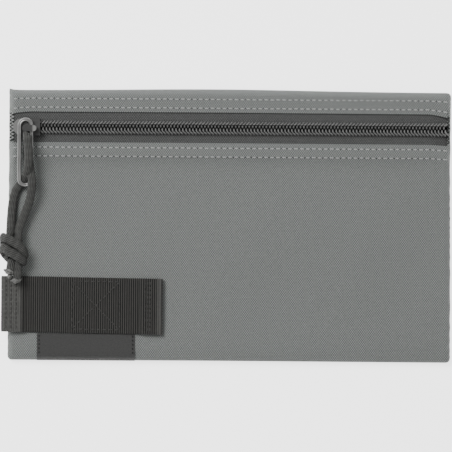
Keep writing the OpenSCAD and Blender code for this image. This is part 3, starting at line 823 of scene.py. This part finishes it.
def row_of_stitches(name, start, end, finish, length=stitch, hole=0.0012, width=0.0006, bend=None):
    """Stitches from one point to another on top of the cloth, as one mesh, with gaps of `hole` between
    them. `bend` gives how much lower up the pouch the cloth lies at a place."""
    start, end = Vector(start), Vector(end)
    way = (end - start).normalized()
    count = max(1, round((end - start).length / length))
    step = (end - start).length / count
    corners, faces, lay = [], [], []
    dips_in = np.array([-0.00035, -0.00004, 0.0001, 0.00013, 0.0001, -0.00004, -0.00035])
    shares = np.array([0.0, 0.07, 0.22, 0.5, 0.78, 0.93, 1.0])
    sizes = np.array([0.55, 0.85, 1.0, 1.0, 1.0, 0.85, 0.55])
    for n in range(count):
        first = start + way * (n * step + hole / 2)
        slack = 0.00006 * math.sin(n * 2.3)
        across = Vector((-way.y, way.x, 0)) * slack
        line = [first + way * (step - hole) * s + across + Vector((0, 0, d)) for s, d in zip(shares, dips_in)]
        if bend:
            line = [p - Vector((0, float(bend(p.x, p.y)), 0)) for p in line]
        one = sweep("stitch", [tuple(p) for p in line], (0, 0, 1), oval(width, width * 0.75, 8), scale=sizes)
        offset = len(corners)
        corners += [v.co[:] for v in one.vertices]
        faces += [[offset + i for i in p.vertices] for p in one.polygons]
        lay += [tuple(u.vector) for u in one.uv_layers["lay"].uv]
        bpy.data.meshes.remove(one)
    return piece(lay_mesh(name, corners, faces, lay), finish)


row_inset = 0.00035
thread_lift = 0.0001
rows_low, rows_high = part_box("upper_hem_stitching")
row_start = left_edge + 0.0016
row_end = right_edge - 0.0012
# Kind, slot, finish, gap between two stitches, width of the thread, and how far in the row starts.
hem_threads = (("stitches", "pale_thread", pale_finish, 0.0013, 0.0006, 0),
               # The second kind is short dark pieces laid in the needle holes between stitches: painted shade
               # in the holes.
               ("holes", "dark_thread", thread_finish, 0.0025, 0.0004, stitch / 2))
for number, y in enumerate((rows_low.y + row_inset, rows_high.y - row_inset), 1):
    for kind, slot, finish, hole, width, inset in hem_threads:
        made = row_of_stitches(f"upper_hem_{kind}_{number}", (row_start + inset, y, hem_top),
                               (row_end - inset, y, hem_top), finish, stitch, hole, width, sag)
        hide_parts("upper_hem_stitching")
        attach(made, "pouch")
rows_low, rows_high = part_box("lower_hem_stitching")
for number, y in enumerate((rows_high.y - row_inset, rows_low.y + row_inset), 1):
    for half, start, end in (("left", row_start, mouth_middle), ("right", mouth_middle, row_end)):
        for kind, slot, finish, hole, width, inset in hem_threads:
            made = row_of_stitches(f"lower_hem_{kind}_{number}_{half}", (start + inset, y, hem_top),
                                   (end - inset, y, hem_top), finish, stitch, hole, width, sag)
            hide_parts("lower_hem_stitching")
            open_mouth(made, half, fades=True)
for side in ("left", "right"):
    low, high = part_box(f"{side}_seam_stitching")
    x = (low.x + high.x) / 2
    made = row_of_stitches(f"{side}_seam_stitches", (x, low.y, low.z), (x, high.y, low.z), pale_finish)
    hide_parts(f"{side}_seam_stitching")
    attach(made, "pouch")

# ---- bartacks ----
# A dense zigzag of thread across both tapes closes the zip at each end. The left one is sewn over once
# more in pale thread.
for side, tint, finish, across, shift in (
        ("left", "dark", thread_finish, 0.0011, 0), ("left", "pale", pale_finish, 0.001, 0.0008),
        ("right", "dark", thread_finish, 0.0007, 0)):
    low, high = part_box(f"{side}_bartack")
    middle = (low.x + high.x) / 2
    y = np.arange(low.y + shift, high.y, 0.0009)
    swing = np.where(np.arange(len(y)) % 2, 1, -1)
    points = [(middle + across * s, up, high.z - 0.0003 + 0.0001 * s) for s, up in zip(swing, y)]
    line = through(points, 0.0002)
    made = piece(sweep(f"{side}_{tint}_tack", line, (0, 0, 1), oval(0.00045, 0.0003, 8)), finish)
    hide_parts(f"{side}_bartack")
    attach(made, "pouch")

# ---- webbing strap ----
# Ribbed black nylon webbing. Both ends are turned under and sewn, a boxed cross of stitches holds it to the
# front, and its right end stays free as a tab. The turned left end is rubbed paler.
strap_low, strap_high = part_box("webbing_strap")
tab_low, tab_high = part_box("strap_tab")
webbing_thick = 0.0013
strap_mid = strap_low.z + 0.0007
turned_mid = strap_high.z - 0.0007
webbing_finish = Finish("black ribbed webbing", Roughness=0.75, Specular_IOR_Level=0.2)
web_along, web_across = webbing_finish.lay()
rib_pitch = 1.13
web_weave, web_over = woven(web_along * (2 / rib_pitch), web_across * (1 / 0.55))
web_rib = web_along.maths("SINE", web_along * (2 * math.pi / rib_pitch)) * 0.5 + 0.5
web_wear = webbing_finish.cloud(0.0013, 4)
rubbed_hem = webbing_finish.along_x(strap_low.x + 0.0094, strap_low.x + 0.0114, 0.75, 0.0)
# A painted highlight: the rolled lip at the tab's end is tinted paler where light falls on the roll. The paler
# colour below serves both the rubbed left hem and this painted highlight.
painted_lip_highlight = webbing_finish.along_x(tab_high.x - 0.0038, tab_high.x - 0.0022, 0.0, 0.5)
web_black = webbing_finish.tint(web_rib + web_weave * 0.1 + web_over * 0.1 + web_wear * 0.3 - 0.25,
                                (0.001, 0.001, 0.001), (0.066, 0.065, 0.061))
web_rubbed_and_lit = webbing_finish.tint(web_wear * 0.7 + web_weave * 0.3,
                                 (0.035, 0.035, 0.034), (0.145, 0.145, 0.137))
webbing_finish.wear(colour=webbing_finish.tint(rubbed_hem + painted_lip_highlight, web_black, web_rubbed_and_lit),
                    roughness=0.62 + web_wear * 0.2, height=web_rib * 0.5 + web_weave * 0.6, depth=0.00025)


def slant(x, y=0.0):
    """How much lower up the pouch the strap lies at a place, as it was sewn on slightly askew. It is the
    same for every y."""
    return (x - strap_low.x - 0.042) * 0.0125


def webbing(name, profile, ribs=0.00016):
    """Webbing along a line of (across the pouch, height) points, ribbed, with rounded selvedges."""
    line = through([(x, 0, z) for x, z in profile], 0.0002)
    y = np.concatenate([[strap_low.y, strap_low.y + 0.0003, strap_low.y + 0.0009],
                        spread(strap_low.y + 0.002, strap_high.y - 0.002, 0.0025),
                        [strap_high.y - 0.0009, strap_high.y - 0.0003, strap_high.y]])
    thin = np.interp(np.minimum(y - y[0], y[-1] - y), [0, 0.0003, 0.0009], [0.5, 0.85, 1])
    rib = ribs * np.sin(distances(line) * 2 * math.pi / (rib_pitch * mm))
    grid = line[:, None, :] + np.stack([0 * y, y, 0 * y], 1)[None]
    grid[..., 1] -= slant(grid[..., 0])
    return piece(cloth(name, grid, (webbing_thick + rib)[:, None] * thin[None]), webbing_finish)


tab_edge = tab_low.x - 0.0008
hem_in = strap_low.x + 0.0104
strap = webbing("webbing_band", [
    (hem_in - 0.0003, strap_mid), (hem_in - 0.004, strap_mid), (strap_low.x + 0.0013, strap_mid),
    (strap_low.x + 0.0007, (strap_mid + turned_mid) / 2), (strap_low.x + 0.0013, turned_mid),
    (strap_low.x + 0.005, turned_mid), (hem_in - 0.0008, turned_mid), (hem_in + 0.0008, turned_mid - 0.0004),
    (hem_in + 0.0022, strap_mid + 0.0002), (hem_in + 0.0042, strap_mid), (hem_in + 0.01, strap_mid),
    (tab_edge - 0.01, strap_mid), (tab_edge, strap_mid)])
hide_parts("webbing_strap")
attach(strap, "pouch")
lip = tab_high.x
tab_turn = lip - 0.0104
tab = webbing("webbing_tab", [
    (tab_edge, strap_mid), (tab_edge + 0.005, strap_mid), (tab_turn - 0.004, strap_mid),
    (tab_turn - 0.002, strap_mid + 0.0002), (tab_turn - 0.0006, turned_mid - 0.0003),
    (tab_turn + 0.001, turned_mid), (lip - 0.005, turned_mid), (lip - 0.0024, turned_mid + 0.0002),
    (lip - 0.0012, turned_mid + 0.0001), (lip - 0.0007, (strap_mid + turned_mid) / 2),
    (lip - 0.0013, strap_mid + 0.0001), (lip - 0.005, strap_mid), (tab_turn + 0.0005, strap_mid)])
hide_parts("strap_tab")
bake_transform(tab)

# ---- strap stitches ----
# Dark grey thread. A box with a cross in it holds the strap to the front, and three columns of short
# stitches hold each turned end.
web_thread_finish = Finish("strap thread", Roughness=0.7, Specular_IOR_Level=0.3)
web_thread_finish.wear(colour=web_thread_finish.tint(web_thread_finish.cloud(0.0007, 3),
                                                     (0.006, 0.006, 0.006), (0.075, 0.074, 0.07)))
web_top = strap_mid + webbing_thick / 2 + thread_lift
turned_top = turned_mid + webbing_thick / 2 + thread_lift
low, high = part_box("box_stitching")
corners = [(low.x, low.y), (high.x, low.y), (high.x, high.y), (low.x, high.y)]
runs = [*zip(corners, corners[1:] + corners[:1]), (corners[0], corners[2]), (corners[1], corners[3])]
for number, (a, b) in enumerate(runs, 1):
    made = row_of_stitches(f"box_stitches_{number}", (*a, web_top), (*b, web_top), web_thread_finish,
                           bend=slant)
    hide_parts("box_stitching")
    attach(made, "pouch")
for node, body in (("left_end_stitching", "pouch"), ("tab_stitching", "tab")):
    low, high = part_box(node)
    for number, x in enumerate((low.x + row_inset, (low.x + high.x) / 2, high.x - row_inset), 1):
        made = row_of_stitches(f"{node.replace('ing', 'es')}_{number}", (x, low.y, turned_top),
                               (x, high.y, turned_top), web_thread_finish, length=0.0024, hole=0.0009,
                               bend=slant)
        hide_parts(node)
        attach(made, body)

# ---- label ----
# A finely woven dark grey label, left plain, between the strap and the bottom edge. Its foot is caught in
# the bottom fold and its sides are sewn down.
label_low, label_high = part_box("label")
label_thick = 0.00045
label_mid = label_low.z + label_thick / 2 + 0.00004
label_finish = Finish("woven label", Roughness=0.6, Specular_IOR_Level=0.2)
pick_along, pick_across = label_finish.lay()
label_weave, label_top = woven(pick_along * (1 / 0.3), pick_across * (1 / 0.42))
label_nap = label_finish.cloud(0.0009, 3)
label_finish.wear(colour=label_finish.tint(label_weave * 0.4 + label_top * 0.3 + label_nap * 0.35,
                                           (0.012, 0.012, 0.012), (0.085, 0.085, 0.083)),
                  height=label_weave, depth=0.0001)
label_profile = bends_kept(through([(0, y, z) for y, z in (
    (bottom_fold - 0.0002, 0.0022), (bottom_fold - 0.0001, 0.0034),
    (bottom_fold + 0.0014, label_mid - 0.0006), (bottom_fold + 0.0036, label_mid),
    (bottom_fold + 0.008, label_mid), (label_high.y, label_mid))], 0.0001), 0.001)
x = spread(label_low.x, label_high.x, 0.002)
grid = np.array([label_profile + [across, 0, 0] for across in x])
grid[..., 2] += 0.00008 * np.sin(grid[..., 0] * 190)
label = piece(cloth("plain_label", grid, label_thick), label_finish)
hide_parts("label")
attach(label, "pouch")
label_surface = label_mid + label_thick / 2 + thread_lift
low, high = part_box("label_stitching")
for number, x in enumerate((low.x + row_inset, high.x - row_inset), 1):
    made = row_of_stitches(f"label_stitches_{number}", (x, low.y, label_surface), (x, high.y, label_surface),
                           thread_finish, length=0.002)
    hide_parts("label_stitching")
    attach(made, "pouch")

# ---- floor and light ----
# A plain pale table that glows a little, under a soft light from high on the left, with a weaker fill from
# the right and an even white sky.
floor_mesh = bpy.data.meshes.new("table")
floor_mesh.from_pydata([(-12, -12, 0), (12, -12, 0), (12, 12, 0), (-12, 12, 0)], [], [(0, 1, 2, 3)])
floor_finish = Finish("pale table", Roughness=0.9, Base_Color=(0.9, 0.9, 0.9, 1),
                      Emission_Color=(1, 1, 1, 1), Emission_Strength=2.2)
table = piece(floor_mesh, floor_finish)
table.location.z = -0.0002
table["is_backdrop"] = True


def soft_light(name, place, size, power):
    lamp = bpy.data.lights.new(name, "AREA")
    lamp.shape = "DISK"
    lamp.size = size
    lamp.energy = power
    made = bpy.data.objects.new(name, lamp)
    bpy.context.scene.collection.objects.link(made)
    made.location = place
    made.rotation_euler = (-Vector(place)).to_track_quat("-Z", "Y").to_euler()


soft_light("key", (-0.85, 0.7, 1.35), 0.9, 33)
soft_light("fill", (1.1, -0.3, 1.2), 1.2, 5)
sky = bpy.data.worlds.new("studio")
sky.use_nodes = True
glow = sky.node_tree.nodes["Background"].inputs
glow["Color"].default_value = (1, 1, 1, 1)
glow["Strength"].default_value = 0.5
bpy.context.scene.world = sky

low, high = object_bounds()
